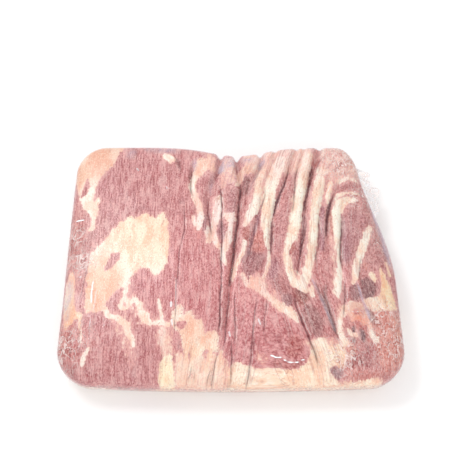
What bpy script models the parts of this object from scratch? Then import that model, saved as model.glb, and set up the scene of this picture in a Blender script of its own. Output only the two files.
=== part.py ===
"""Pork belly slab: one boneless belly cut, rib side up, wrapped tightly in clear film.

The wrapped slab is one closed body. Its plan is a rounded rectangle, bowed at the front, drawn in
at the middle of the back and slanted in at the back right. Its top edge rounds over to a waist,
below which the flank draws in to a flat underside. Furrows between the rib marks run over the
right half of the top and down the back. All lengths are millimetres until the mesh is made.
"""

import bpy
import numpy as np

MILLIMETRE = 0.001

# Driving dimensions of the whole slab.
LENGTH = 349.0
WIDTH = 279.0
EDGE_HEIGHT = 48.0
CROWN = 6.0
WAIST_LEVEL = 25.0
SHOULDER = 26.0
UNDERCUT = 11.0
CORNER_RADIUS = 35.0

# The inner rectangle is where the top edge starts to round over.
INNER_X = LENGTH / 2 - SHOULDER
INNER_Y = WIDTH / 2 - SHOULDER
INNER_RADIUS = CORNER_RADIUS - SHOULDER

# How the plan departs from the rounded rectangle.
FRONT_BOW = 5.0
BACK_RECESS = 11.0
BACK_RECESS_X = 8.0
BACK_RECESS_SPREAD = 44.0
RIGHT_SLANT = 31.0
RIGHT_SLANT_FROM = -30.0
RIGHT_SLANT_OVER = 160.0

# Mesh steps: the smooth left part is coarse and the furrowed right part is fine.
FURROWS_FROM_X = -38.0
COARSE_STEP = 8.0
FINE_STEP = 3.9
ROW_STEP = 6.8
CORNER_STEPS = 3
SHOULDER_ROWS = 5
FLANK_ROWS = 4
SHOULDER_POWER = 2.3
FLANK_POWER = 2.6

# Broad swellings of the top: x, y, radius, height.
SWELLINGS = (
    (-105.0, 60.0, 62.0, 2.0),
    (-60.0, -60.0, 70.0, 1.5),
    (128.0, -85.0, 26.0, 3.0),
    (80.0, -70.0, 14.0, 1.8),
    (22.0, -8.0, 12.0, 1.6),
    (130.0, 25.0, 20.0, 2.2),
    (60.0, -105.0, 22.0, -1.6),
    (-150.0, -50.0, 20.0, -1.5),
)

# Furrows: depth, half width, then the line's points (x, y) from the back forwards.
FURROWS = (
    (6.0, 4.2, ((-14, 150), (-14, 112), (-19, 92), (-27, 68), (-24, 35), (-20, 0))),
    (7.0, 4.6, ((5, 150), (6, 112), (9, 78), (7, 50), (3, 20), (-2, -20), (-7, -70))),
    (6.0, 4.2, ((30, 150), (32, 112), (22, 90), (15, 66), (9, 42))),
    (3.6, 3.8, ((52, 150), (46, 115), (36, 82), (30, 52), (22, 28), (14, -16))),
    (4.4, 4.2, ((78, 150), (66, 113), (57, 85), (47, 58), (42, 36), (40, -4))),
    (3.2, 3.6, ((86, 150), (76, 112), (70, 92), (66, 68), (62, 40), (56, 8))),
    (6.0, 4.6, ((104, 150), (91, 110), (85, 88), (79, 60), (76, 30), (70, 0), (65, -30))),
    (4.0, 3.8, ((110, 100), (100, 72), (94, 48), (92, 22), (87, 0), (89, -20))),
    (5.0, 4.2, ((126, 100), (112, 73), (103, 48), (100, 20), (97, -6))),
    (4.0, 3.8, ((126, 72), (118, 52), (115, 20), (113, -15), (112, -60))),
    (3.6, 4.0, ((58, -30), (63, -52), (70, -76), (79, -100), (90, -132))),
    (3.6, 4.0, ((86, -20), (93, -42), (100, -75), (107, -104))),
)
FURROW_FADE = 24.0

# Where the middle of the swellings' and furrows' own layout lies on the slab.
RELIEF_AT = (2.2, -2.5)

# The mesh columns lean over with the furrows, most at the back.
LEAN = 20.0
LEAN_FROM_X = -80.0
LEAN_FROM_Y = -20.0
LEAN_OVER = 133.0
LEAN_EASE_IN = 90.0
LEAN_EASE_OUT = 45.0

PORK = (0.80, 0.47, 0.45, 1.0)
PORK_ROUGHNESS = 0.35


def smooth_step(value):
    """Rise from 0 to 1 as value does, flat at both ends."""
    value = np.clip(value, 0.0, 1.0)
    return value * value * (3.0 - 2.0 * value)


def round_corners(x, y):
    """Turn the inner rectangle's corners into quarter circles, with the outward direction there."""
    a = np.clip((abs(x) - INNER_X) / INNER_RADIUS + 1.0, 0.0, 1.0)
    b = np.clip((abs(y) - INNER_Y) / INNER_RADIUS + 1.0, 0.0, 1.0)
    round_a = a * np.sqrt(1.0 - b * b / 2.0)
    round_b = b * np.sqrt(1.0 - a * a / 2.0)
    x_out = x + np.sign(x) * INNER_RADIUS * (round_a - a)
    y_out = y + np.sign(y) * INNER_RADIUS * (round_b - b)
    direction = np.dstack([np.sign(x) * round_a, np.sign(y) * round_b])
    return x_out, y_out, direction


def warp_plan(x, y):
    """Bow the front, recess the back and slant the right side of the plan."""
    across = x / (LENGTH / 2)
    front = smooth_step(-y / (WIDTH / 2))
    back = smooth_step(y / (WIDTH / 2))
    recess = np.exp(-(((x - BACK_RECESS_X) / BACK_RECESS_SPREAD) ** 2))
    slant = smooth_step((y - RIGHT_SLANT_FROM) / RIGHT_SLANT_OVER)
    new_x = x - RIGHT_SLANT * slant * np.clip(across, 0.0, None) ** 2
    new_y = y + FRONT_BOW * front * across**2 - BACK_RECESS * back * recess
    return new_x, new_y


def line_x(points, y):
    """X of a smooth line through points (x, y) listed from the back forwards, at each y."""
    points = np.array(points[::-1], float)
    slopes = np.gradient(points[:, 0], points[:, 1])
    last = np.clip(np.searchsorted(points[:, 1], y), 1, len(points) - 1)
    first = last - 1
    span = points[last, 1] - points[first, 1]
    t = np.clip((y - points[first, 1]) / span, 0.0, 1.0)
    start = (1 + 2 * t) * (1 - t) ** 2 * points[first, 0] + t * (1 - t) ** 2 * span * slopes[first]
    end = t * t * (3 - 2 * t) * points[last, 0] - t * t * (1 - t) * span * slopes[last]
    return start + end


def relief(x, y):
    """Height of the furrows and swellings over the plain slab."""
    x, y = x - RELIEF_AT[0], y - RELIEF_AT[1]
    height = np.zeros_like(x)
    for swell_x, swell_y, radius, rise in SWELLINGS:
        distance = np.hypot(x - swell_x, y - swell_y)
        height += rise * np.exp(-((distance / radius) ** 2))
    for depth, half_width, points in FURROWS:
        back_end, front_end = points[0][1], points[-1][1]
        along = smooth_step((y - front_end) / FURROW_FADE) * smooth_step((back_end - y) / FURROW_FADE)
        height -= depth * along * np.exp(-(((x - line_x(points, y)) / half_width) ** 2))
    return height


def crown(x, y):
    """Height of the plain top, highest in the middle."""
    return EDGE_HEIGHT + CROWN * (1 - (x / INNER_X) ** 2) * (1 - (y / INNER_Y) ** 2)


def spaced(start, end, step):
    """Even steps of about this size from start up to, but not including, end."""
    return np.linspace(start, end, round((end - start) / step), endpoint=False)


def top_grid():
    """Arrays of x and y over the inner rectangle, with extra steps at its rounded corners."""
    corner = np.linspace(0.0, INNER_RADIUS, CORNER_STEPS, endpoint=False)
    straight_x = INNER_X - INNER_RADIUS
    straight_y = INNER_Y - INNER_RADIUS
    coarse = spaced(-straight_x, FURROWS_FROM_X, COARSE_STEP)
    fine = spaced(FURROWS_FROM_X, straight_x, FINE_STEP)
    rows = spaced(-straight_y, straight_y, ROW_STEP)
    columns = np.concatenate([corner - INNER_X, coarse, fine, straight_x + corner, [INNER_X]])
    rows = np.concatenate([corner - INNER_Y, rows, straight_y + corner, [INNER_Y]])
    x, y = np.meshgrid(columns, rows)
    lean = LEAN * np.clip((y - LEAN_FROM_Y) / LEAN_OVER, 0.0, None) ** 2
    ease_in = smooth_step((x - LEAN_FROM_X) / LEAN_EASE_IN)
    ease_out = smooth_step((straight_x - x) / LEAN_EASE_OUT)
    return x + lean * ease_in * ease_out, y


def edge_profile():
    """Steps down the side: offset outwards, share of the top height, level, tilt of the normal."""
    steps = []
    for angle in np.linspace(0, np.pi / 2, SHOULDER_ROWS + 1)[1:]:
        out = SHOULDER * np.sin(angle) ** (2 / SHOULDER_POWER)
        share = np.cos(angle) ** (2 / SHOULDER_POWER) if angle < 1.57 else 0.0
        steps.append((out, share, WAIST_LEVEL, angle))
    for angle in np.linspace(0, np.pi / 2, FLANK_ROWS + 1)[1:]:
        draw = 1 - np.cos(angle) ** (2 / FLANK_POWER) if angle < 1.57 else 1.0
        level = WAIST_LEVEL * (1 - np.sin(angle) ** (2 / FLANK_POWER))
        steps.append((SHOULDER - UNDERCUT * draw, 0.0, level, np.pi / 2))
    return steps


def slab_mesh():
    """Vertices and faces of the closed slab: top grid, side rings, flat underside."""
    x, y = top_grid()
    row_count, column_count = x.shape
    x, y, direction = round_corners(x, y)
    plan_x, plan_y = warp_plan(x, y)
    top = np.dstack([plan_x, plan_y, crown(x, y) + relief(plan_x, plan_y)])
    vertices = [tuple(point) for point in top.reshape(-1, 3)]

    front = [(0, i) for i in range(column_count)]
    right = [(j, column_count - 1) for j in range(1, row_count)]
    back = [(row_count - 1, i) for i in range(column_count - 2, -1, -1)]
    left = [(j, 0) for j in range(row_count - 2, 0, -1)]
    rim = front + right + back + left
    ring = [j * column_count + i for j, i in rim]
    rim_rows, rim_columns = np.array(rim).T
    rim_x, rim_y = x[rim_rows, rim_columns], y[rim_rows, rim_columns]
    out = direction[rim_rows, rim_columns]
    rim_top = crown(rim_x, rim_y)

    faces = []
    for j in range(row_count - 1):
        for i in range(column_count - 1):
            corner = j * column_count + i
            faces.append((corner, corner + 1, corner + column_count + 1, corner + column_count))
    for offset, share, level, tilt in edge_profile():
        ring_x, ring_y = warp_plan(rim_x + out[:, 0] * offset, rim_y + out[:, 1] * offset)
        height = level + (rim_top - level) * share
        depth = relief(ring_x, ring_y) * smooth_step(height / WAIST_LEVEL)
        points = np.column_stack([
            ring_x + depth * out[:, 0] * np.sin(tilt),
            ring_y + depth * out[:, 1] * np.sin(tilt),
            height + depth * np.cos(tilt),
        ])
        new_ring = list(range(len(vertices), len(vertices) + len(points)))
        vertices += [tuple(point) for point in points]
        for k in range(len(ring)):
            after = (k + 1) % len(ring)
            faces.append((ring[k], new_ring[k], new_ring[after], ring[after]))
        ring = new_ring
    faces.append(tuple(reversed(ring)))
    return centred(np.array(vertices)), faces


def centred(vertices):
    """Put the middle of the slab's box over the origin, with the underside on zero."""
    low, high = vertices.min(axis=0), vertices.max(axis=0)
    middle = (low + high) / 2
    return vertices - (middle[0], middle[1], low[2])


def pork_material():
    material = bpy.data.materials.new("pork")
    material.use_nodes = True
    shader = material.node_tree.nodes["Principled BSDF"]
    shader.inputs["Base Color"].default_value = PORK
    shader.inputs["Roughness"].default_value = PORK_ROUGHNESS
    shader.inputs["Metallic"].default_value = 0.0
    return material


def make_slab():
    vertices, faces = slab_mesh()
    mesh = bpy.data.meshes.new("pork_belly_slab")
    mesh.from_pydata((vertices * MILLIMETRE).tolist(), [], faces)
    mesh.shade_smooth()
    mesh.materials.append(pork_material())
    slab = bpy.data.objects.new("pork_belly_slab", mesh)
    bpy.context.scene.collection.objects.link(slab)


for old in list(bpy.data.objects):
    bpy.data.objects.remove(old)
make_slab()
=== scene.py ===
"""Looks of the pork belly slab: raw meat with its fat marks, under tight clear film.

The meat and the film are fine meshes of the same form as the CAD slab. Fat, lean and creases are
named shapes on the top face, laid out in millimetres with X to the right and Y to the back; each
becomes a distance field on the mesh, which the materials turn into ragged edges and fibres.
"""

import math

import bpy
import numpy as np
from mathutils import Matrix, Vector


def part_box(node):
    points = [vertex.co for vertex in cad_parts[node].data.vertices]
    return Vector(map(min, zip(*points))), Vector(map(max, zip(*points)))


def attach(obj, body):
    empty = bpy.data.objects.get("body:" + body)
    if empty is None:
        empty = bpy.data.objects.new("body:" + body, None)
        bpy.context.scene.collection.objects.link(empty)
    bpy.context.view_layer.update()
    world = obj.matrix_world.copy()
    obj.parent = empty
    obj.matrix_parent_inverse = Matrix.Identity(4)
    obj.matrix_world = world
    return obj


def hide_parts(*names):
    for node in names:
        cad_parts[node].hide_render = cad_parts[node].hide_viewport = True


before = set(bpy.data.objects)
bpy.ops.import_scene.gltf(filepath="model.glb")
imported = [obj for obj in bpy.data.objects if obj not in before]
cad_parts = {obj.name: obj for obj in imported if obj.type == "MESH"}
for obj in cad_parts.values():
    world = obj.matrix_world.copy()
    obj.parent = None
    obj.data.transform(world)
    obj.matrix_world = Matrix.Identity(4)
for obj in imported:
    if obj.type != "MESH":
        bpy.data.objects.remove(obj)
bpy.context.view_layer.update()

BOX_LOW, BOX_HIGH = (np.array(corner) * 1000.0 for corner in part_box("pork_belly_slab"))

# ---------------------------------------------------------------- form, in millimetres
LENGTH, WIDTH = (BOX_HIGH - BOX_LOW)[:2] - 0.4
EDGE_HEIGHT = 48.0
CROWN = 6.0
WAIST_LEVEL = 25.0
SHOULDER = 26.0
UNDERCUT = 11.0
CORNER_RADIUS = 35.0
INNER_X = LENGTH / 2 - SHOULDER
INNER_Y = WIDTH / 2 - SHOULDER
INNER_RADIUS = CORNER_RADIUS - SHOULDER
SHOULDER_POWER = 2.3
FLANK_POWER = 2.6
FRONT_BOW = 5.0
BACK_RECESS, BACK_RECESS_X, BACK_RECESS_SPREAD = 11.0, 8.0, 44.0
RIGHT_SLANT, RIGHT_SLANT_FROM, RIGHT_SLANT_OVER = 31.0, -30.0, 160.0
FILM_GAP = 0.45

# The loose film at the back right: where it starts and ends along the side, and its size.
FOLD_FRONT, FOLD_BACK = 50.0, 124.0
FOLD_REACH = 17.0
FOLD_THICKNESS = 0.4
# Its root lies inside the side, from where it drops outwards from its top level.
FOLD_ROOT = 7.0
FOLD_OVERLAP = 6.0
FOLD_TOP, FOLD_DROP = 40.0, 13.0
# Towards the back corner it is tucked in: how far, from which y, and over what length.
FOLD_TUCK, FOLD_TUCK_FROM, FOLD_TUCK_OVER = 9.0, 96.0, 26.0
FOLD_ROWS, FOLD_COLUMNS = 90, 44
# Ripples of the flap: height, then radians along it and radians out across it.
FOLD_RIPPLES = ((3.0, 23.0, 2.5), (1.6, 47.0, -5.0), (1.2, 11.0, 9.0))

# The marks on the top were laid out about this point of the slab.
MARKS_AT = (2.2, -2.5)

# Mesh steps of the fine pieces.
COLUMN_STEP, ROW_STEP = 0.8, 2.0
CORNER_STEPS = 14
SHOULDER_ROWS, FLANK_ROWS = 20, 10

# Broad swellings of the top: x, y, radius, height.
SWELLINGS = (
    (-105, 60, 62, 2.0),
    (-60, -60, 70, 1.5),
    (128, -85, 26, 3.0),
    (80, -72, 14, 1.8),
    (22, -8, 12, 1.6),
    (130, 25, 20, 2.2),
    (60, -105, 22, -1.6),
    (-150, -50, 20, -1.5),
    (138, -40, 9, 1.2),
    (124, -44, 7, 1.0),
    (50, -42, 10, 1.2),
    (-35, 84, 9, 1.2),
    (140, -110, 14, 1.4),
    (92, -112, 12, 1.0),
    (-125, -8, 8, -0.6),
    (68, -48, 8, 0.9),
)

# Furrows between the rib marks: depth, half width, points (x, y) from the back forwards.
FURROWS = (
    (6.0, 3.4, ((-14, 150), (-14, 112), (-19, 92), (-27, 68), (-24, 35), (-20, 0))),
    (7.5, 3.4, ((5, 150), (6, 112), (9, 78), (6.5, 50), (3, 20), (-1.5, -20), (-6, -60), (-9, -100))),
    (6.0, 3.4, ((30, 150), (32, 112), (22, 90), (15, 66), (9, 42))),
    (3.0, 2.8, ((52, 150), (46, 115), (36, 82), (30, 52), (22, 28), (14, -16))),
    (4.6, 3.0, ((78, 150), (66, 113), (57, 85), (47, 58), (42, 36), (40, -4))),
    (3.0, 2.6, ((86, 150), (76, 112), (70, 92), (66, 68), (62, 40), (56, 8))),
    (6.5, 3.6, ((104, 150), (91, 110), (85, 88), (79, 60), (76, 30), (70, 0), (65, -30))),
    (4.0, 2.8, ((110, 100), (100, 72), (94, 48), (92, 22), (87, 0), (89, -20))),
    (5.0, 3.2, ((126, 100), (112, 73), (103, 48), (100, 20), (97, -6))),
    (4.0, 2.8, ((126, 72), (118, 52), (115, 20), (113, -15), (112, -60))),
    (3.6, 3.0, ((58, -30), (63, -52), (70, -76), (79, -100), (90, -132))),
    (3.6, 3.0, ((86, -20), (93, -42), (100, -75), (107, -104))),
    (2.6, 2.2, ((-42, 122), (-45, 100), (-46, 82), (-42, 62))),
    (2.4, 2.0, ((-66, 128), (-58, 106), (-50, 88))),
    (3.2, 2.2, ((-38, 60), (-39, 50), (-37, 40))),
    (3.0, 2.6, ((90, 128), (96, 110), (99, 96))),
)
FURROW_FADE = 22.0

# Creases pinched into the film: strength, half width, points (x, y) from the back forwards.
CREASES = (
    (0.55, 0.45, ((-52, 62), (-51, 30), (-55, 0), (-57, -40), (-58, -92))),
    (0.9, 0.55, ((-13, 84), (-11.5, 50), (-11.5, 0), (-12.5, -50), (-14.5, -92))),
    (0.8, 0.6, ((-27, 70), (-26, 50), (-24, 32), (-22, 16))),
    (1.0, 0.9, ((9, 90), (8.5, 70), (6.5, 50), (4.5, 30), (2, 8), (-1, -18), (-4, -44))),
    (0.75, 0.55, ((-3, -36), (-5.5, -62), (-8, -92), (-10, -106))),
    (0.7, 0.5, ((1.5, -40), (2, -80), (1, -104))),
    (0.75, 0.5, ((-1.5, -92), (-2, -120), (-2.5, -142))),
    (0.7, 0.5, ((25, -48), (21, -72), (18, -104), (15, -124), (12, -144))),
    (0.5, 0.45, ((21, -86), (20, -100), (23, -112))),
    (0.6, 0.5, ((35, -46), (32.5, -64), (30, -92))),
    (0.6, 0.5, ((-14, -100), (-18, -118), (-20, -132), (-22, -144))),
    (0.5, 0.5, ((-21, -120), (-24, -130), (-27, -140))),
    (0.5, 0.5, ((-40, -118), (-42, -128), (-46, -134))),
    (0.4, 0.4, ((-37, -122), (-39, -134))),
    (0.45, 0.4, ((-53, -92), (-54, -106))),
    (0.4, 0.5, ((-5, -130), (-6, -142))),
    (0.35, 0.4, ((-8, -132), (-10, -144))),
    (0.9, 0.7, ((62, -44), (64, -60), (69, -76), (75, -90), (79, -102), (83, -122))),
    (0.8, 0.8, ((92, -36), (94, -48), (98, -66), (102, -84), (105, -98))),
    (0.7, 0.6, ((84, -28), (88, -46), (94, -62))),
    (0.7, 0.6, ((115, -26), (114, -40), (112, -60), (109, -76))),
    (0.8, 0.7, ((42, 42), (41, 20), (40, 0), (40, -8))),
    (0.7, 0.6, ((75, 112), (71, 100), (69, 80), (66, 60), (64, 44))),
    (0.85, 1.0, ((90, 110), (86, 92), (82, 74), (78, 54), (76, 44))),
    (0.8, 0.6, ((79, 40), (76, 22), (72, 4), (68, -12), (65, -30))),
    (0.75, 0.7, ((94, 50), (92, 28), (90, 10), (87, -4), (88, -16))),
    (0.9, 0.9, ((114, 78), (108, 64), (103, 48), (101, 36), (99.5, 14))),
    (0.8, 0.8, ((118, 50), (116, 30), (113, 6), (113, -20))),
    (0.85, 0.7, ((65, 112), (61, 96), (56, 82), (50, 66), (46, 52), (43, 38))),
    (0.7, 0.6, ((37, 84), (34, 64), (30, 52), (26, 42))),
    (0.65, 0.6, ((25, 40), (23, 24), (19, 6), (15, -14))),
    (0.6, 0.5, ((-66, 126), (-60, 112), (-54, 98))),
    (0.45, 0.4, ((-62, 122), (-56, 108))),
    (0.7, 0.7, ((-48, 110), (-44.5, 98), (-46, 86), (-45, 74), (-41, 62))),
    (0.55, 0.6, ((-13.5, 122), (-13, 108), (-17, 96), (-21, 84))),
    (0.5, 0.6, ((6, 118), (5, 106), (4, 92))),
    (0.5, 0.6, ((31, 120), (31, 108), (26, 94), (20, 80))),
    (0.5, 0.5, ((108, 128), (101, 118), (95, 108), (91, 98))),
    (0.4, 0.4, ((-149, -8), (-154, -38), (-158, -58))),
    (0.5, 0.6, ((136, 2), (131, -16), (131, -40))),
    (0.55, 0.5, ((143, 84), (140, 74), (144, 64))),
    (0.3, 0.35, ((-139, -50), (-139, -90))),
    (0.3, 0.35, ((-144, -66), (-142, -96))),
    (0.3, 0.35, ((-152, -62), (-150, -112))),
)
CREASE_REACH = 4.0

# ---------------------------------------------------------------- fat and lean shapes
# A patch is a closed outline; rag is how far its edge frays, in millimetres.
FAT_PATCHES = (
    (1.2, ((-180, 100), (-178, 122), (-164, 136), (-138, 146), (-117, 146), (-129, 121), (-131, 112),
     (-138, 103), (-146, 93), (-149, 84), (-150, 74), (-152, 64), (-149, 60), (-146, 68), (-143, 62),
     (-147, 56), (-143, 53), (-146, 48), (-147, 38), (-147, 28), (-153, 26), (-150, 34), (-151, 44),
     (-156, 51), (-163, 54), (-163, 62), (-167, 70), (-173, 90))),
    (2.2, ((-149, 0), (-143, 6), (-137, 12), (-130, 20), (-128, 27), (-121, 29), (-121, 38), (-116, 34),
     (-111, 42), (-104, 40), (-98, 43), (-92, 46), (-88, 42), (-83, 38), (-80, 41), (-76, 46), (-72, 46),
     (-70, 38), (-69, 28), (-67, 18), (-67, 4), (-67, -6), (-70, -14), (-73, -22), (-78, -28), (-82, -24),
     (-86, -19), (-92, -17), (-98, -19), (-102, -24), (-106, -31), (-108, -40), (-112, -37), (-118, -41),
     (-123, -46), (-127, -53), (-130, -60), (-136, -66), (-142, -62), (-147, -66), (-150, -58),
     (-149, -45), (-150, -32), (-149, -15))),
    (1.2, ((-97, -52), (-92, -55), (-90, -63), (-83, -70), (-80, -75), (-87, -79), (-93, -72),
     (-96, -62))),
    (0.8, ((-169, -18), (-163, -24), (-163, -40), (-161, -60), (-157, -66), (-161, -74), (-168, -84),
     (-173, -60), (-173, -35))),
    (2.6, ((-58, -60), (-53, -58), (-51, -64), (-50, -70), (-46, -68), (-42, -64), (-38, -70), (-36, -76),
     (-31, -74), (-30, -82), (-29, -91), (-25, -88), (-20, -86), (-15, -85), (-14, -92), (-15, -104),
     (-22, -106), (-26, -102), (-31, -110), (-36, -113), (-42, -108), (-46, -102), (-49, -94), (-52, -88),
     (-56, -84), (-60, -79), (-62, -72))),
    (1.4, ((-66, -108), (-61, -108), (-58, -116), (-57, -128), (-58, -150), (-72, -150), (-72, -130),
     (-71, -118))),
    (1.4, ((-4, -122), (0, -116), (8, -117), (14, -119), (22, -123), (38, -122), (52, -124), (62, -123),
     (72, -118), (76, -108), (80, -98), (84, -91), (91, -92), (93, -99), (98, -101), (104, -97),
     (110, -102), (110, -112), (107, -121), (100, -122), (96, -128), (104, -134), (120, -133), (146, -128),
     (150, -140), (110, -150), (60, -152), (0, -152), (-6, -142))),
    (1.2, ((152, -12), (155, -20), (160, -32), (165, -48), (167, -60), (158, -62), (150, -61), (145, -66),
     (138, -62), (134, -58), (132, -52), (140, -54), (144, -48), (149, -49), (153, -38), (152, -25))),
    (0.8, ((139, -23), (145, -20), (148, -28), (146, -33), (142, -28))),
    (1.6, ((18, -26), (22, -30), (27, -28), (30, -33), (34, -38), (34, -44), (40, -49), (47, -55),
     (55, -60), (61, -62), (66, -72), (64, -77), (57, -70), (49, -66), (42, -61), (36, -53), (28, -47),
     (20, -41), (16, -34))),
    (1.0, ((-37, 117), (-30, 119), (-25, 112), (-30, 99), (-38, 98), (-38, 106))),
    (1.0, ((-9, 38), (-4, 46), (3, 48), (1, 40), (-3, 34))),
    (1.0, ((7, 104), (14, 107), (27, 113), (24, 104), (18, 97), (12, 98), (11, 90), (8, 82), (6, 94))),
    (1.2, ((94, 106), (99, 109), (107, 104), (109, 99), (100, 97), (94, 99))),
    (0.8, ((-163, -66), (-158, -63), (-152, -66), (-150, -72), (-158, -72))),
    (1.2, ((-80, 124), (-70, 124), (-62, 118), (-68, 112), (-76, 116))),
)

# How far the fat spreads past its drawn shapes.
FAT_SPREAD = 0.6

# Lean showing through a patch of fat.
LEAN_ISLANDS = (
    (0.8, ((-160, 94), (-157, 88), (-156, 80), (-159, 72), (-166, 66), (-165, 74), (-163, 84))),
    (1.2, ((-128, 0), (-122, -1), (-117, 1), (-117, -7), (-122, -12), (-126, -18), (-131, -22),
     (-132, -16), (-130, -10), (-128, -5))),
    (1.0, ((92, -121), (101, -119), (108, -123), (104, -131), (97, -130))),
    (1.2, ((-57, -76), (-48, -75), (-46, -79), (-50, -84), (-56, -81))),
)

# A fat strip is a line with its half width at each point: (x, y, half width).
FAT_STRIPS = (
    ((119, -56, 3), (117, -62, 3.6), (118, -68, 2.2)),
    ((134, -54, 3), (140, -54, 4.6), (148, -55, 4.6)),
    ((-26, 30, 1.4), (-26, 20, 2), (-27, 10, 1.2)),
    ((-8, 44, 2), (-3, 42, 3.2), (3, 40, 2)),
    ((6, 84, 1.8), (9, 96, 2.4), (16, 106, 3), (26, 108, 2.4)),
    ((-33, 112, 7), (-37, 100, 5.5), (-43, 88, 3), (-44, 78, 3.4), (-41, 68, 3), (-37, 58, 3.2),
     (-34, 48, 3.2), (-34, 38, 3.4), (-36, 28, 2.5)),
    ((-41, 40, 1.5), (-40, 32, 1.5)),
    ((-27, 27, 1.5), (-25.5, 18, 2), (-24.5, 11, 1.5)),
    ((-14, 66, 2.6), (-15, 57, 3.2), (-16, 48, 3.8), (-18, 38, 3.6), (-20.5, 26, 3), (-19.5, 16, 2.6),
     (-16, 8, 2), (-13, 3, 1.2)),
    ((-1, 40, 1.6), (-2, 32, 2), (-3, 24, 2.6), (-4, 15, 3), (-7, 7, 3.2), (-9.5, 0, 2.2), (-10, -8, 2),
     (-8, -13, 1.5)),
    ((12, 12, 2), (12, 4, 2), (8, -6, 1.8), (3, -15, 2.2), (1, -24, 2.2), (-0.5, -31, 1)),
    ((34, 106, 3.6), (31, 95, 4.2), (28, 85, 3), (28, 75, 4), (27, 66, 4.6), (25, 58, 5), (21, 48, 5),
     (17, 40, 4), (13, 32, 2)),
    ((54, 116, 6), (50, 104, 7), (45, 90, 7), (42, 80, 6.4), (40, 70, 6), (39.5, 60, 6), (37.5, 50, 6),
     (36.5, 40, 5), (36, 30, 4), (35.5, 20, 3), (36, 10, 2), (37, 4, 0.8)),
    ((37, 0, 1), (38, -10, 1.6), (35, -20, 1.5), (31, -30, 1.8)),
    ((86, 124, 5), (83.5, 116, 6), (80, 100, 5.5), (78, 90, 5.5), (76, 80, 5.4), (73.5, 70, 5.2),
     (71.5, 60, 5.2), (69.5, 50, 5.4), (68, 40, 6), (66, 30, 5.8), (63, 20, 5), (58.5, 10, 3.6),
     (56, 2, 2.4), (56, -5, 2.8), (57.5, -15, 3.6), (59, -25, 3.8), (62, -33, 4), (68, -38, 4),
     (74, -42, 2.5)),
    ((97, 92, 4.5), (95.5, 82, 5.6), (93.5, 72, 5.4), (91.5, 62, 5), (89, 52, 4.6), (88, 42, 4.4),
     (86.5, 32, 4.2), (85.5, 22, 4.2), (84, 12, 4.3), (82, 0, 4), (79, -12, 4), (76, -22, 4.3),
     (73, -32, 5), (69, -38, 4)),
    ((80, -38, 1.6), (80, -48, 2)),
    ((108, 86, 2), (106, 76, 2.2), (104, 68, 1.8), (103, 61, 1.4)),
    ((136, 65, 1.5), (125, 65, 3.6), (117.5, 60, 5.2), (112.5, 50, 5), (111.5, 40, 4.7), (111, 30, 4.1),
     (110.5, 20, 3.2), (110.5, 10, 2.4), (110.5, 0, 1.6), (110, -12, 1.5), (109.5, -24, 2.4),
     (107.5, -34, 4), (106, -43, 3.6), (106.5, -49, 1.4)),
    ((146, 30, 2.5), (141, 18, 3.4), (136, 6, 4), (131, -6, 3.6), (127.5, -16, 3.4), (126, -26, 3.6),
     (123, -33, 1.6)),
    ((112, -58, 1.5), (108.5, -68, 1.8), (105.5, -78, 2), (107, -90, 2), (110, -98, 2.6)),
    ((119, -74, 1.2), (122, -70, 2.0), (127, -72, 1.6), (129, -78, 1.0)),
    ((113, -84, 0.8), (117, -88, 1.8), (122, -90, 1.4)),
    ((126, -64, 1.0), (130, -70, 1.4), (132, -78, 0.8)),
    ((110, -70, 1), (113, -63, 2.4), (119, -59, 3.4), (126, -57, 2.4), (130, -61, 1.5)),
    ((133, -66, 1), (135, -76, 1.4), (136, -86, 2), (140, -94, 3), (143, -92, 1.5)),
    ((10, -25, 1.3), (12, -33, 1.5), (16, -39, 1.5)),
    ((-108, -40, 1.6), (-110, -50, 1.2), (-105, -56, 1.8), (-98, -52, 1.8), (-95, -58, 2)),
    ((-112, -52, 1.2), (-113, -60, 1.6), (-108, -62, 1.4), (-104, -58, 1)),
    ((-129, -60, 1.6), (-126, -68, 2), (-118, -70, 2), (-112, -74, 3), (-106, -78, 3.4), (-104, -86, 3),
     (-100, -92, 2), (-98, -100, 1.4)),
    ((-86, -77, 1), (-78, -77, 1.6), (-70, -77, 1.6), (-64, -79, 2)),
    ((-75, -52, 0.7), (-73, -60, 1), (-72, -68, 1), (-70, -76, 1)),
    ((-152, -66, 1), (-153, -75, 0.8), (-150, -96, 0.6)),
    ((-147, -118, 1.6), (-146, -110, 1.4), (-142, -102, 0.8)),
    ((-48, -98, 1.6), (-46, -108, 1.4), (-44, -116, 0.6)),
    ((-40, -106, 1.8), (-40, -116, 1), (-42, -124, 0.6)),
    ((-22, -104, 1.8), (-22, -112, 1.4), (-26, -124, 0.8)),
    ((-12, -106, 1.2), (-14, -118, 1.2), (-18, -132, 0.8)),
    ((118, 88, 2), (128, 93, 1.6), (138, 89, 1.4)),
    ((112, 66, 1), (116, 71, 1.6), (126, 74, 1.4), (138, 72, 1)),
    ((160, -8, 0.8), (163, -22, 1)),
)

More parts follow.
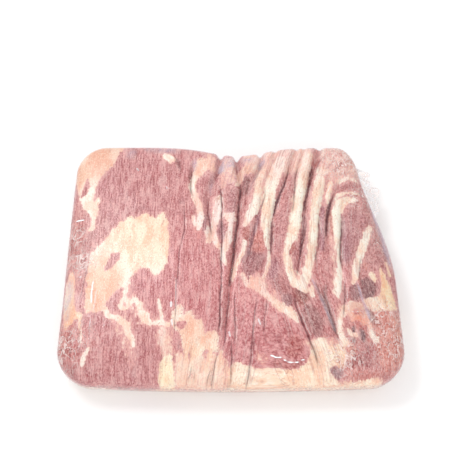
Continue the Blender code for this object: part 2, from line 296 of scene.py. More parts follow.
# Where the lean takes another tint: colour (sRGB), soft edge, strength, outline.
LEAN_MARKS = (
    ((172, 114, 114), 3, 0.95, ((71, -56), (80, -58), (88, -65), (90, -78), (88, -90), (82, -92),
     (76, -86), (71, -76), (69, -66))),
    ((140, 88, 94), 2, 1.0, ((131, -30), (138, -26), (146, -32), (146, -40), (142, -50), (136, -54),
     (131, -48), (130, -38))),
    ((156, 98, 106), 2, 0.9, ((119, -37), (124, -34), (129, -38), (130, -48), (126, -54), (119, -52),
     (117, -44))),
    ((172, 102, 110), 2.5, 0.95, ((9, -4), (18, 2), (26, -2), (33, -2), (33, -12), (28, -20), (20, -26),
     (16, -34), (12, -24), (9, -14))),
    ((194, 124, 124), 3, 0.8, ((38, -32), (45, -25), (53, -26), (58, -34), (59, -44), (52, -50), (44, -46),
     (39, -40))),
    ((156, 102, 110), 2, 0.9, ((50, -48), (59, -46), (61, -56), (56, -61), (50, -57))),
    ((178, 96, 84), 2.5, 0.9, ((61, -40), (68, -41), (76, -44), (78, -50), (72, -59), (65, -58),
     (61, -48))),
    ((196, 88, 84), 3, 0.95, ((52, -97), (60, -86), (66, -90), (70, -97), (66, -108), (60, -113),
     (53, -109))),
    ((200, 116, 110), 2, 0.85, ((38, -112), (50, -115), (58, -118), (69, -113), (66, -120), (52, -124),
     (40, -119))),
    ((196, 108, 110), 1.5, 0.8, ((-126, -122), (-119, -122), (-118, -127), (-123, -129))),
    ((192, 142, 152), 3, 0.8, ((40, -8), (47, -7), (48, -22), (41, -32), (36, -30), (38, -18))),
    ((206, 124, 112), 2, 0.9, ((10, 24), (15, 32), (18, 28), (17, 14), (13, 12), (9, 18))),
    ((168, 122, 132), 2, 0.85, ((-32, 44), (-27, 44), (-27, 24), (-30, 20), (-33, 32))),
    ((178, 128, 138), 2, 0.85, ((-17, 36), (-10, 38), (-8, 26), (-8, 15), (-14, 14), (-17, 22))),
    ((202, 122, 124), 2, 0.9, ((-16, 74), (-9, 80), (-9, 62), (-17, 62))),
    ((203, 150, 152), 3, 0.9, ((-6, 76), (4, 76), (5, 58), (2, 44), (-7, 42), (-5, 58))),
    ((194, 138, 144), 4, 0.8, ((114, 48), (120, 50), (124, 24), (126, 4), (122, -12), (113, -14))),
    ((150, 66, 72), 1, 1.0, ((88, 112), (92, 110), (89.5, 94), (85.5, 80), (80.5, 64), (78, 50),
     (75.5, 50), (77.5, 62), (82, 78), (85, 92))),
    ((150, 84, 94), 1, 1.0, ((75, 47), (78.5, 47), (77.5, 30), (74, 12), (71.5, -2), (69, -2), (71, 14),
     (74, 30))),
    ((132, 78, 98), 1, 1.0, ((56, 84), (60, 90), (55.5, 76), (49.5, 60), (45.5, 44), (43, 44), (46, 60),
     (52, 74))),
    ((152, 72, 78), 1, 0.9, ((41, 42), (44, 44), (43.5, 28), (42.5, 12), (41.5, 0), (39.5, 0), (40, 16),
     (40.5, 30))),
    ((138, 80, 90), 1, 1.0, ((104, 64), (108, 64), (105, 48), (102, 36), (100, 20), (98, 20), (99.5, 38),
     (101, 50))),
    ((220, 156, 130), 1.5, 0.9, ((103.5, 48), (108, 52), (107, 36), (107, 20), (103, 20), (102.5, 34))),
    ((186, 128, 142), 1.5, 0.95, ((94, 56), (100, 58), (98.5, 40), (97.5, 20), (96, 2), (91, 2),
     (92.5, 24), (94, 40))),
    ((150, 78, 82), 1.5, 0.9, ((12, 94), (20, 92), (18, 80), (13, 66), (10, 72), (11, 84))),
    ((176, 104, 112), 1.5, 0.9, ((24, 46), (31, 48), (29, 34), (24, 20), (20, 10), (17, 12), (21, 26),
     (24, 36))),
    ((226, 146, 130), 2, 0.85, ((22, 22), (32, 26), (34, 10), (34, 0), (22, -2), (18, 8))),
    ((140, 86, 116), 1, 0.8, ((29, 52), (31, 50), (26, 30), (20, 8), (16, -6), (14, -4), (19, 12),
     (24, 32))),
    ((214, 132, 120), 1.5, 0.9, ((55, 14), (60, 12), (66, 14), (66, 2), (60, -4), (56, 0))),
    ((208, 142, 144), 2, 0.6, ((46, 44), (60, 62), (62, 50), (58, 30), (54, 14), (44, 0), (43, 26))),
    ((176, 118, 132), 3, 0.85, ((114, 40), (120, 44), (122, 20), (124, 4), (120, -10), (113, -10))),
    ((200, 146, 150), 3, 0.7, ((120, 50), (138, 52), (146, 40), (140, 26), (128, 8), (120, 4))),
    ((206, 136, 128), 1.5, 0.85, ((113, 78), (124, 84), (138, 86), (138, 80), (126, 77), (114, 72))),
    ((198, 130, 132), 2, 0.8, ((115, 82), (138, 86), (138, 78), (118, 76))),
    ((214, 120, 112), 2, 0.8, ((118, -66), (128, -64), (134, -76), (130, -88), (122, -84), (117, -76))),
    ((150, 92, 104), 1.5, 0.9, ((92, -121), (101, -119), (108, -123), (104, -131), (97, -130))),
    ((150, 74, 66), 1.5, 0.8, ((63, -42), (70, -42), (76, -46), (74, -54), (66, -52))),
    ((110, 66, 78), 1.2, 0.85, ((88, -44), (91, -46), (98, -66), (103, -84), (100, -86), (94, -68))),
    ((120, 74, 84), 1.5, 0.85, ((125, -84), (129, -88), (129, -97), (126, -95))),
    ((140, 84, 84), 1.0, 0.8, ((118, -82), (120, -84), (120, -96), (118, -94))),
    ((200, 128, 128), 3, 0.8, ((124, -98), (136, -98), (142, -106), (138, -118), (128, -122),
     (122, -112))),
    ((132, 84, 84), 1.5, 0.7, ((92, -34), (96, -36), (96, -50), (93, -52))),
    ((190, 120, 122), 2, 0.7, ((5, 48), (9, 46), (6, 14), (4, -2), (-1, -2), (2, 20))),
    ((170, 100, 110), 2, 0.8, ((-58, 63), (-52, 63), (-52, 57), (-58, 57))),
    ((150, 95, 90), 1.5, 0.8, ((-47.5, 96), (-45, 96), (-45, 87), (-47.5, 87))),
    ((152, 92, 98), 0.8, 0.75, ((103, 103), (105, 103), (119, 119), (117, 119))),
    ((152, 92, 98), 0.8, 0.7, ((111, 100), (113, 100), (127, 115), (125, 115))),
    ((248, 178, 156), 4, 0.75, ((141, -64), (162, -62), (162, -112), (152, -128), (142, -118),
     (140, -90))),
    ((226, 152, 134), 4, 0.65, ((108, -118), (140, -124), (150, -122), (140, -134), (110, -134))),
    ((160, 116, 112), 2, 0.85, ((131, -62), (139, -62), (143, -72), (141, -80), (135, -76))),
    ((104, 58, 74), 1.2, 1.0, ((117.5, -80), (121, -82), (121, -90), (117.5, -90))),
    ((96, 52, 72), 1.5, 1.0, ((124, -82), (129, -83), (131, -92), (127, -96), (124.5, -90))),
    ((104, 60, 70), 1.0, 0.9, ((117.5, -92), (120.5, -93), (120, -99), (117.5, -98))),
    ((205, 128, 124), 3, 0.6, ((-164, -78), (-154, -74), (-150, -100), (-154, -118), (-164, -104))),
)

# Warm or pale veils over the lean, streaked with fat: colour (sRGB), soft edge, strength, outline.
PALE_VEILS = (
    ((254, 214, 198), 5, 1.0, ((-58, -100), (-44, -112), (-20, -106), (-4, -112), (-2, -150),
     (-58, -150))),
    ((250, 210, 196), 5, 0.85, ((-78, -78), (-62, -78), (-58, -100), (-60, -112), (-72, -112))),
    ((238, 190, 182), 5, 0.55, ((-124, -62), (-104, -60), (-96, -88), (-92, -120), (-104, -122),
     (-112, -96), (-124, -76))),
    ((240, 192, 184), 4, 0.6, ((-112, -38), (-100, -40), (-88, -60), (-78, -72), (-60, -72), (-60, -82),
     (-90, -84), (-104, -66), (-114, -54))),
    ((240, 200, 192), 6, 0.75, ((94, 140), (120, 150), (150, 140), (150, 112), (146, 92), (128, 92),
     (112, 84), (98, 92))),
    ((250, 214, 206), 6, 0.9, ((12, 150), (60, 150), (92, 150), (90, 112), (76, 98), (50, 96), (30, 100),
     (12, 96))),
    ((236, 176, 160), 5, 0.6, ((96, 60), (102, 58), (106, 40), (104, 10), (100, 12))),
    ((240, 188, 172), 6, 0.7, ((126, 38), (142, 34), (142, 22), (134, 20))),
    ((240, 180, 168), 5, 0.6, ((25, 28), (31, 22), (33, 4), (26, 4), (24, 14))),
    ((238, 170, 158), 5, 0.5, ((-42, 34), (-34, 36), (-32, 16), (-40, 14))),
    ((238, 176, 158), 4, 0.6, ((-152, -6), (-142, -4), (-134, -34), (-140, -60), (-150, -66))),
    ((240, 184, 166), 7, 0.5, ((144, -62), (172, -62), (172, -110), (156, -130), (142, -112))),
    ((240, 184, 166), 4, 0.6, ((104, -92), (118, -94), (124, -108), (112, -116), (102, -112))),
    ((236, 184, 174), 5, 0.4, ((-170, 66), (-164, 70), (-162, 40), (-166, 26), (-174, 30))),
    ((246, 220, 224), 5, 0.9, ((-14, 122), (8, 122), (6, 104), (4, 84), (-4, 82), (-12, 96), (-16, 108))),
    ((246, 212, 206), 3, 0.8, ((-24, 66), (-12, 66), (-12, 40), (-16, 16), (-22, 16), (-22, 40))),
    ((236, 194, 190), 5, 0.6, ((-6, 106), (6, 108), (6, 84), (-8, 84), (-16, 92))),
    ((248, 208, 192), 4, 0.8, ((-32, 130), (-18, 130), (-17, 104), (-22, 98), (-28, 102))),
    ((246, 202, 184), 4, 0.7, ((-14, 96), (-6, 96), (-9, 70), (-15, 70))),
    ((240, 162, 136), 4, 0.5, ((132, -10), (142, -8), (142, -20), (134, -20))),
    ((244, 196, 186), 3, 0.6, ((34, 100), (44, 96), (40, 60), (34, 20), (26, 30), (22, 60))),
    ((244, 200, 190), 3, 0.7, ((68, 96), (80, 92), (74, 46), (70, 10), (60, -10), (52, 0), (58, 30))),
    ((244, 200, 190), 3, 0.6, ((86, 84), (96, 84), (92, 40), (88, 0), (80, -30), (76, -14))),
    ((246, 206, 190), 4, 0.7, ((56, -20), (84, -16), (80, -36), (70, -46), (58, -36))),
    ((244, 200, 190), 4, 0.6, ((102, 64), (118, 66), (116, 30), (114, -30), (104, -52), (100, -30))),
    ((242, 196, 186), 4, 0.6, ((14, -22), (30, -22), (44, -44), (66, -62), (62, -80), (40, -62),
     (14, -38))),
    ((252, 210, 194), 4, 0.85, ((64, -96), (74, -92), (94, -90), (108, -96), (114, -122), (70, -120),
     (80, -104))),
    ((246, 202, 184), 4, 0.6, ((100, -60), (112, -54), (110, -80), (112, -100), (102, -96))),
    ((242, 190, 174), 4, 0.5, ((20, -104), (34, -104), (38, -120), (20, -120))),
    ((244, 200, 184), 4, 0.6, ((130, -52), (146, -48), (150, -66), (136, -70), (132, -60))),
)

# Painted sheen, a pale lilac-tinged painted reflection on the film where it stands off the meat: strength,
# soft edge, outline.
PAINTED_SHEEN = (
    (0.55, 3, ((-45, 116), (-40, 118), (-39, 104), (-43, 98))),
    (0.65, 3, ((-14, 114), (-8, 116), (-7, 106), (-11, 97), (-16, 99))),
    (0.6, 4, ((31, 122), (38, 120), (36, 108), (31, 100), (29, 110))),
    (0.4, 4, ((-118, 130), (-108, 130), (-108, 117), (-118, 117))),
    (0.45, 5, ((-12, 122), (4, 122), (6, 110), (-4, 104), (-10, 110))),
    (0.35, 5, ((10, 122), (28, 122), (26, 112), (10, 112))),
    (0.55, 4, ((150, 66), (158, 44), (166, 8), (168, -14), (161, -10), (156, 24), (149, 56))),
    (0.35, 4, ((-100, 136), (-64, 136), (-56, 126), (-70, 124), (-100, 127))),
    (0.4, 4, ((-172, -30), (-164, -26), (-163, -60), (-166, -80), (-174, -60))),
    (0.35, 4, ((-22, 98), (-20, 84), (-24, 64), (-26, 80))),
    (0.35, 3, ((26, 100), (30, 104), (22, 82), (16, 66), (18, 80))),
    (0.5, 1, ((125, -32), (128, -32), (133, -54), (139, -74), (135, -74), (130, -56))),
    (0.4, 1, ((78, -26), (81, -27), (94, -60), (103, -86), (100, -86), (90, -58))),
)

# White glints along folds of the film: strength, half width, points (x, y).
GLINTS = (
    (1.0, 0.8, ((37, -109), (42, -111), (46, -111), (51, -114), (54, -115.5), (60, -116.5), (65, -114.5),
     (69, -113))),
    (1.0, 1.1, ((-167, 40), (-159, 40))),
    (0.7, 0.5, ((-166, -2), (-160, -3), (-156, -1))),
    (0.6, 0.5, ((-164, 8), (-161, 9))),
    (0.6, 0.5, ((-158, -17), (-155, -13))),
    (0.6, 0.5, ((-163, -27), (-156, -26), (-158, -30))),
    (0.8, 0.8, ((-143, -31), (-144, -42), (-143, -54))),
    (0.5, 0.5, ((-139, -40), (-140, -62))),
    (0.6, 0.5, ((-152, -45), (-152, -74))),
    (0.5, 0.4, ((-142, -70), (-143, -82))),
    (0.5, 0.4, ((-129, -72), (-128, -80))),
    (0.6, 0.5, ((103, 72), (106, 78), (108, 84))),
    (0.5, 0.4, ((53, 68), (50, 58), (49, 52))),
    (0.4, 0.4, ((86, 84), (84, 70))),
    (0.4, 0.4, ((94, 44), (93, 34))),
    (0.7, 1.2, ((-62, -56), (-62, -60))),
    (0.7, 1.0, ((-61, -74), (-60, -79))),
    (0.6, 1.0, ((25, -73), (27, -78))),
    (0.5, 1.0, ((-4, -86), (-3, -90))),
    (0.5, 0.8, ((-72, 79), (-71, 76))),
    (0.5, 1.0, ((-106, 104), (-104, 101))),
    (0.4, 0.6, ((-60, -112), (-60, -116))),
    (0.5, 0.5, ((115, -63), (122, -66), (127, -64))),
    (0.35, 0.5, ((-58, -30), (-57.5, -60))),
)

# Corners where the film is crumpled: x, y, radius.
CRUMPLES = (
    (-168, -100, 26),
    (158, -96, 28),
    (122, 112, 26),
    (-160, -8, 16),
    (150, -70, 20),
    (140, 70, 16),
    (-168, 20, 14),
    (110, -110, 20),
    (160, 20, 18),
)

# How many waves of crumpling there are in a millimetre, across, along and down.
CRINKLE_WAVES = (0.085, 0.075, 0.10)

# Base tint of the lean: x, y, radius, colour (sRGB).
LEAN_REGIONS = (
    (5, -40, 16, (242, 174, 172)), (-140, -90, 14, (216, 138, 140)), (-40, 30, 14, (224, 150, 148)),
    (-110, 80, 60, (214, 157, 158)),
    (-60, 90, 40, (222, 164, 163)),
    (-160, 20, 28, (217, 163, 155)),
    (-50, 10, 34, (228, 160, 161)),
    (-35, -40, 38, (226, 153, 155)),
    (-85, -38, 22, (219, 146, 149)),
    (-120, -100, 42, (217, 158, 158)),
    (15, -75, 28, (231, 160, 163)),
    (50, -80, 22, (224, 150, 152)),
    (-162, -92, 18, (216, 146, 134)),
    (130, 20, 26, (208, 156, 152)),
    (60, 70, 60, (234, 184, 178)), (60, 110, 30, (242, 202, 194)), (0, 110, 22, (238, 204, 204)),
    (125, -105, 24, (212, 138, 136)),
    (150, -90, 22, (226, 168, 152)),
    (95, -20, 26, (222, 154, 152)),
    (45, 0, 24, (224, 164, 164)),
)
LEAN_DEFAULT = (220, 158, 156)

# Tint of the fat where it isn't plain cream: x, y, radius, colour (sRGB).
FAT_REGIONS = (
    (-150, -60, 10, (238, 194, 170)), (128, -62, 8, (230, 176, 156)), (-30, -85, 12, (248, 212, 190)),
    (-135, 105, 16, (240, 206, 186)),
    (126, -74, 8, (240, 162, 140)), (142, -55, 9, (255, 252, 240)),
    # The darker peach tints at the top left rim, about (-172, 100) and (-150, 140), are partly the film
    # lying in layers there and partly painted shade of the rim.
    (-142, -40, 16, (244, 200, 172)), (-128, -25, 10, (246, 208, 180)), (-172, 100, 12, (238, 196, 170)),
    (-150, 140, 16, (236, 196, 172)), (66, -132, 22, (255, 238, 214)), (110, -138, 24, (254, 234, 210)),
    (10, -140, 24, (253, 234, 212)), (-35, -118, 20, (254, 238, 216)), (164, -40, 16, (250, 222, 182)),
    (90, -107, 14, (255, 242, 222)), (50, 116, 26, (250, 228, 220)), (108, 104, 16, (250, 226, 214)),
    (75, 50, 46, (255, 249, 233)), (-12, 40, 24, (254, 236, 230)), (-30, 110, 9, (255, 226, 210)),
    (-66, -124, 10, (255, 240, 206)), (-90, 20, 26, (253, 230, 204)), (25, -35, 14, (250, 218, 208)),
    (-35, 112, 12, (246, 208, 190)), (15, 102, 14, (244, 206, 188)), (-160, -70, 12, (250, 218, 186)),
)
FAT_DEFAULT = (255, 245, 233)


# ---------------------------------------------------------------- form
def smooth_step(value):
    value = np.clip(value, 0.0, 1.0)
    return value * value * (3.0 - 2.0 * value)


def round_corners(x, y):
    """Turn the inner rectangle's corners into quarter circles, with the outward direction there."""
    a = np.clip((abs(x) - INNER_X) / INNER_RADIUS + 1.0, 0.0, 1.0)
    b = np.clip((abs(y) - INNER_Y) / INNER_RADIUS + 1.0, 0.0, 1.0)
    round_a = a * np.sqrt(1.0 - b * b / 2.0)
    round_b = b * np.sqrt(1.0 - a * a / 2.0)
    x_out = x + np.sign(x) * INNER_RADIUS * (round_a - a)
    y_out = y + np.sign(y) * INNER_RADIUS * (round_b - b)
    return x_out, y_out, np.dstack([np.sign(x) * round_a, np.sign(y) * round_b])


def warp_plan(x, y):
    """Bow the front, recess the back and slant the right side of the plan."""
    across = x / (LENGTH / 2)
    front = smooth_step(-y / (WIDTH / 2))
    back = smooth_step(y / (WIDTH / 2))
    recess = np.exp(-(((x - BACK_RECESS_X) / BACK_RECESS_SPREAD) ** 2))
    slant = smooth_step((y - RIGHT_SLANT_FROM) / RIGHT_SLANT_OVER)
    new_x = x - RIGHT_SLANT * slant * np.clip(across, 0.0, None) ** 2
    new_y = y + FRONT_BOW * front * across**2 - BACK_RECESS * back * recess
    return new_x, new_y


def line_x(points, y):
    """X of a smooth line through points (x, y) listed from the back forwards, at each y."""
    points = np.array(points[::-1], float)
    slopes = np.gradient(points[:, 0], points[:, 1])
    last = np.clip(np.searchsorted(points[:, 1], y), 1, len(points) - 1)
    first = last - 1
    span = points[last, 1] - points[first, 1]
    t = np.clip((y - points[first, 1]) / span, 0.0, 1.0)
    start = (1 + 2 * t) * (1 - t) ** 2 * points[first, 0] + t * (1 - t) ** 2 * span * slopes[first]
    end = t * t * (3 - 2 * t) * points[last, 0] - t * t * (1 - t) * span * slopes[last]
    return start + end


def along_line(points, y, fade):
    """1 along a line listed from the back forwards, fading out at its two ends."""
    back_end, front_end = points[0][1], points[-1][1]
    fade = min(fade, (back_end - front_end) / 2.5)
    return smooth_step((y - front_end) / fade) * smooth_step((back_end - y) / fade)


def swellings(x, y):
    height = np.zeros_like(x)
    for swell_x, swell_y, radius, rise in SWELLINGS:
        height += rise * np.exp(-(np.hypot(x - swell_x, y - swell_y) / radius) ** 2)
    return height


def furrows(x, y):
    """Depth of the furrows: full over the back edge, where they open, and shallower forwards."""
    depth = np.zeros_like(x)
    for full_depth, half_width, points in FURROWS:
        near = np.exp(-(((x - line_x(points, y)) / half_width) ** 2))
        depth += full_depth * near * along_line(points, y, FURROW_FADE)
    return depth * (0.55 + 0.45 * smooth_step((y - 75) / 40))


def creases(x, y):
    """Offset to the nearest crease in its own half widths, and its strength, 0 away from all."""
    nearest = np.full_like(x, 1e3)
    offset, strength = np.zeros_like(x), np.zeros_like(x)
    for full_strength, half_width, points in CREASES:
        wobble = 0.35 * np.sin(y / 7.0 + points[0][0]) + 0.2 * np.sin(y / 2.9 + points[0][1])
        away = x - line_x(points, y) - wobble
        here = full_strength * along_line(points, y, 14.0)
        take = (abs(away) < nearest) & (here > 0.02)
        nearest[take] = abs(away[take])
        offset[take] = away[take] / half_width
        strength[take] = here[take]
    strength *= smooth_step((CREASE_REACH - nearest) / (CREASE_REACH * 0.4))
    return np.clip(offset, -12, 12), strength


def grain_x(x, y):
    """X followed back along the way the fibres and the film's pleats run."""
    back = smooth_step((x + 60) / 100) * smooth_step((200 - x) / 100)
    shift = 20.0 * back * np.clip((y + 20) / 133, 0.0, None) ** 2
    right = smooth_step(x / 80) * smooth_step((190 - x) / 80)
    shift += 0.27 * right * np.clip(-20 - y, 0.0, None)
    middle = smooth_step((x + 100) / 60) * smooth_step((60 - x) / 60)
    shift -= 0.15 * middle * np.clip(-50 - y, 0.0, None)
    return x - shift


def wander(xy, seed, amount):
    """Points moved a little, so that a shape read through them gets an uneven edge."""
    x, y = xy.T
    move = [waves(x, y, seed + k, (13, 7, 4.5)) for k in range(2)]
    return xy + amount * np.column_stack(move)


def crown(x, y):
    return EDGE_HEIGHT + CROWN * (1 - (x / INNER_X) ** 2) * (1 - (y / INNER_Y) ** 2)


def spaced(start, end, step):
    return np.linspace(start, end, round((end - start) / step), endpoint=False)


def top_grid():
    """Arrays of x and y over the inner rectangle, with extra steps at its rounded corners."""
    corner = np.linspace(0.0, INNER_RADIUS, CORNER_STEPS, endpoint=False)
    straight_x, straight_y = INNER_X - INNER_RADIUS, INNER_Y - INNER_RADIUS
    columns = spaced(-straight_x, straight_x, COLUMN_STEP)
    rows = spaced(-straight_y, straight_y, ROW_STEP)
    columns = np.concatenate([corner - INNER_X, columns, straight_x + corner, [INNER_X]])
    rows = np.concatenate([corner - INNER_Y, rows, straight_y + corner, [INNER_Y]])
    return np.meshgrid(columns, rows)


def edge_profile():
    """Steps down the side: offset outwards, share of the top height, level, tilt of the normal."""
    quarter = math.pi / 2
    for k in range(1, SHOULDER_ROWS + 1):
        angle = quarter * k / SHOULDER_ROWS
        share = max(math.cos(angle), 0.0) ** (2 / SHOULDER_POWER) if k < SHOULDER_ROWS else 0.0
        yield SHOULDER * math.sin(angle) ** (2 / SHOULDER_POWER), share, WAIST_LEVEL, angle
    for k in range(1, FLANK_ROWS + 1):
        angle = quarter * k / FLANK_ROWS
        draw = 1 - max(math.cos(angle), 0.0) ** (2 / FLANK_POWER) if k < FLANK_ROWS else 1.0
        level = WAIST_LEVEL * (1 - math.sin(angle) ** (2 / FLANK_POWER))
        yield SHOULDER - UNDERCUT * draw, 0.0, level, quarter + angle


class Skin:
    """The slab's closed skin: points, outward directions, marks coordinates and faces."""

    def __init__(self, furrow_share, inset):
        self.furrow_share = furrow_share
        self.inset = inset
        x, y = top_grid()
        self.row_count, self.column_count = x.shape
        x, y, direction = round_corners(x, y)
        self.plans, self.normals, self.heights = [], [], []
        up = np.zeros(x.shape + (3,))
        up[..., 2] = 1.0
        self.add(x.ravel(), y.ravel(), crown(x, y).ravel(), up.reshape(-1, 3))
        self.make_rings(x, y, direction)
        self.plan = np.concatenate(self.plans)
        self.normal = np.concatenate(self.normals)
        self.height = np.concatenate(self.heights)
        self.place()

    def add(self, x, y, height, normal):
        self.plans.append(np.column_stack(warp_plan(x, y)))
        self.heights.append(height)
        self.normals.append(normal)

    def rim(self):
        """Rows and columns of the top grid's edge, anticlockwise from the front left."""
        rows, columns = self.row_count, self.column_count
        front = [(0, i) for i in range(columns)]
        right = [(j, columns - 1) for j in range(1, rows)]
        back = [(rows - 1, i) for i in range(columns - 2, -1, -1)]
        left = [(j, 0) for j in range(rows - 2, 0, -1)]
        return np.array(front + right + back + left)

    def make_rings(self, x, y, direction):
        rows, columns = self.rim().T
        rim_x, rim_y, out = x[rows, columns], y[rows, columns], direction[rows, columns]
        rim_top = crown(rim_x, rim_y)
        top = np.arange(self.row_count * self.column_count).reshape(self.row_count, -1)
        corner = top[:-1, :-1].ravel()
        step = self.column_count
        faces = [np.column_stack([corner, corner + 1, corner + step + 1, corner + step])]
        ring = top[rows, columns]
        start = top.size
        for offset, share, level, tilt in edge_profile():
            height = level + (rim_top - level) * share
            normal = np.column_stack([out * math.sin(tilt), np.full(len(out), math.cos(tilt))])
            self.add(rim_x + out[:, 0] * offset, rim_y + out[:, 1] * offset, height, normal)
            new_ring = np.arange(start, start + len(ring))
            start += len(ring)
            after, new_after = np.roll(ring, -1), np.roll(new_ring, -1)
            faces.append(np.column_stack([ring, new_ring, new_after, after]))
            ring = new_ring
        self.quads = np.concatenate(faces)
        self.last_ring = ring

    def place(self):
        """Put the points in the CAD frame, with furrows, creases and swellings pressed in."""
        low, high = self.plan.min(axis=0), self.plan.max(axis=0)
        middle = (low + high) / 2 - (BOX_LOW + BOX_HIGH)[:2] / 2
        self.plan = self.plan - middle
        self.marks = self.plan - MARKS_AT
        x, y = self.marks.T
        self.furrow_depth = furrows(x, y)
        self.crease_offset, self.crease_strength = creases(x, y)
        pinch = 1.1 * self.crease_strength * np.exp(-abs(self.crease_offset) * 0.55)
        relief = swellings(x, y) - self.furrow_share * self.furrow_depth - pinch
        relief *= smooth_step(self.height / WAIST_LEVEL)
        base = np.column_stack([self.plan, self.height])
        self.points = base + self.normal * (relief - self.inset)[:, None]
        floor = self.inset
        self.points[:, 2] = np.maximum(self.points[:, 2], floor)

    def make(self, name, collection):
        mesh = bpy.data.meshes.new(name)
        faces = self.quads.tolist() + [self.last_ring[::-1].tolist()]
        mesh.from_pydata((self.points / 1000.0).tolist(), [], faces)
        mesh.shade_smooth()
        mesh.update()
        piece = bpy.data.objects.new(name, mesh)
        collection.objects.link(piece)
        return piece


# ---------------------------------------------------------------- distance fields
def rounded(outline, times=2):
    """Cut an outline's corners so that it turns smoothly."""
    points = np.array(outline, float)
    for _ in range(times):
        after = np.roll(points, -1, axis=0)
        points = np.stack([points * 0.75 + after * 0.25, points * 0.25 + after * 0.75], axis=1)
        points = points.reshape(-1, 2)
    return points


def near_box(xy, outline, reach):
    """Indices of the points within reach of an outline's box."""
    low, high = outline.min(axis=0) - reach, outline.max(axis=0) + reach
    return np.nonzero(((xy > low) & (xy < high)).all(axis=1))[0]


def patch_field(xy, outline, reach=12.0):
    """Distance inside a closed outline, negative outside, no less than minus reach."""
    points = rounded(outline)
    field = np.full(len(xy), -reach)
    near = near_box(xy, points, reach)
    spot = xy[near]
    distance = np.full(len(near), 1e3)
    inside = np.zeros(len(near), bool)
    for start, end in zip(points, np.roll(points, -1, axis=0)):
        edge = end - start
        t = np.clip(((spot - start) @ edge) / max(edge @ edge, 1e-9), 0.0, 1.0)
        distance = np.minimum(distance, np.hypot(*(spot - start - t[:, None] * edge).T))
        crosses = (start[1] > spot[:, 1]) != (end[1] > spot[:, 1])
        if edge[1] != 0:
            cross_x = start[0] + (spot[:, 1] - start[1]) * edge[0] / edge[1]
            inside ^= crosses & (spot[:, 0] < cross_x)
    field[near] = np.maximum(np.where(inside, distance, -distance), -reach)
    return field


def strip_field(xy, points, reach=12.0):
    """Distance inside a strip of points (x, y, half width), negative outside it."""
    points = np.array(points, float)
    field = np.full(len(xy), -reach)
    near = near_box(xy, points[:, :2], reach)
    spot = xy[near]
    best = np.full(len(near), -reach)
    for start, end in zip(points, points[1:]):
        edge = (end - start)[:2]
        t = np.clip(((spot - start[:2]) @ edge) / (edge @ edge), 0.0, 1.0)
        distance = np.hypot(*(spot - start[:2] - t[:, None] * edge).T)
        best = np.maximum(best, start[2] + t * (end[2] - start[2]) - distance)
    field[near] = best
    return field


def linear(colour):
    """Linear light from an sRGB colour of 0 to 255."""
    value = np.array(colour, float) / 255.0
    return np.where(value <= 0.04045, value / 12.92, ((value + 0.055) / 1.055) ** 2.4)


def waves(x, y, seed, sizes):
    """A smooth uneven pattern of about -1 to 1, the sum of a few sine waves."""
    generator = np.random.default_rng(seed)
    total = np.zeros_like(x)
    for size in sizes:
        for _ in range(4):
            turn, phase = generator.uniform(0, 2 * math.pi, 2)
            total += np.sin((x * math.cos(turn) + y * math.sin(turn)) * 2 * math.pi / size + phase)
    return total / (2.6 * math.sqrt(len(sizes)))


# ---------------------------------------------------------------- what lies where
def fat_field(marks):
    """Distance inside the fat on the top, and how far the fat's edge frays there."""
    field = np.full(len(marks), -12.0)
    rag = np.full(len(marks), 0.8)
    for fray, outline in FAT_PATCHES:
        patch = patch_field(marks, outline)
        rag = np.where(patch > field, fray, rag)
        field = np.maximum(field, patch)
    for points in FAT_STRIPS:
        strip = strip_field(marks, points)
        rag = np.where(strip > field, 0.6, rag)
        field = np.maximum(field, strip)
    field += FAT_SPREAD
    for fray, outline in LEAN_ISLANDS:
        island = patch_field(marks, outline)
        rag = np.where(-island < field, fray, rag)
        field = np.minimum(field, -island)
    return field, rag


def flank_field(skin):
    """Distance inside the fat layers that show round the cut sides."""
    x, y = skin.plan.T
    level = skin.height
    wander = 2.6 * waves(x, y, 3, (160, 70, 34))
    thick = 1.0 + 0.45 * waves(x, y, 8, (90, 45))
    lower = 7.5 * thick - abs(level - 3.0 - 0.4 * wander)
    middle = 3.0 * thick - abs(level - 19.0 - wander)
    upper = 2.0 * thick - abs(level - 30.0 - 1.3 * wander)
    streak = 1.4 * waves(x, y, 21, (60, 28)) - abs(level - 24.5 - wander) * 0.8
    return np.maximum.reduce([lower, middle, upper, streak])


def blend_regions(marks, regions, default):
    """Linear colour at each point: the nearby regions' tints, weighted by nearness."""
    total = np.full(len(marks), 0.08)
    colour = np.outer(total, linear(default))
    for x, y, radius, tint in regions:
        weight = np.exp(-(np.hypot(marks[:, 0] - x, marks[:, 1] - y) / radius) ** 2)
        total += weight
        colour += np.outer(weight, linear(tint))
    return colour / total[:, None]


def paint(marks, colour, patches):
    """Paint patches (colour, soft edge, strength, outline) over colour, and add up their cover."""
    cover = np.zeros(len(marks))
    for tint, soft, strength, outline in patches:
        weight = strength * smooth_step(patch_field(marks, outline) / (2 * soft) + 0.5)
        colour = colour + weight[:, None] * (linear(tint) - colour)
        cover = np.maximum(cover, weight)
    return colour, cover


def set_values(mesh, name, values):
    layer = mesh.attributes.new(name, "FLOAT", "POINT")
    layer.data.foreach_set("value", np.asarray(values, np.float32))


def set_colours(mesh, name, colours):
    layer = mesh.attributes.new(name, "FLOAT_COLOR", "POINT")
    full = np.column_stack([colours, np.ones(len(colours))]).astype(np.float32)
    layer.data.foreach_set("color", full.ravel())


def film_fields(skin):
    """Strength of the painted sheen, and distance to the nearest glint with its strength, for the film."""
    marks = skin.marks
    painted_sheen = np.zeros(len(marks))
    for strength, soft, outline in PAINTED_SHEEN:
        painted_sheen = np.maximum(painted_sheen, strength * smooth_step(patch_field(marks, outline) / (2 * soft) + 0.5))
    glint, glint_strength = np.full(len(marks), -12.0), np.zeros(len(marks))
    for strength, half_width, points in GLINTS:
        strip = strip_field(marks, [(x, y, half_width) for x, y in points], 3.0)
        take = strip > glint
        glint[take] = strip[take]
        glint_strength[take] = strength
    return painted_sheen, glint, glint_strength


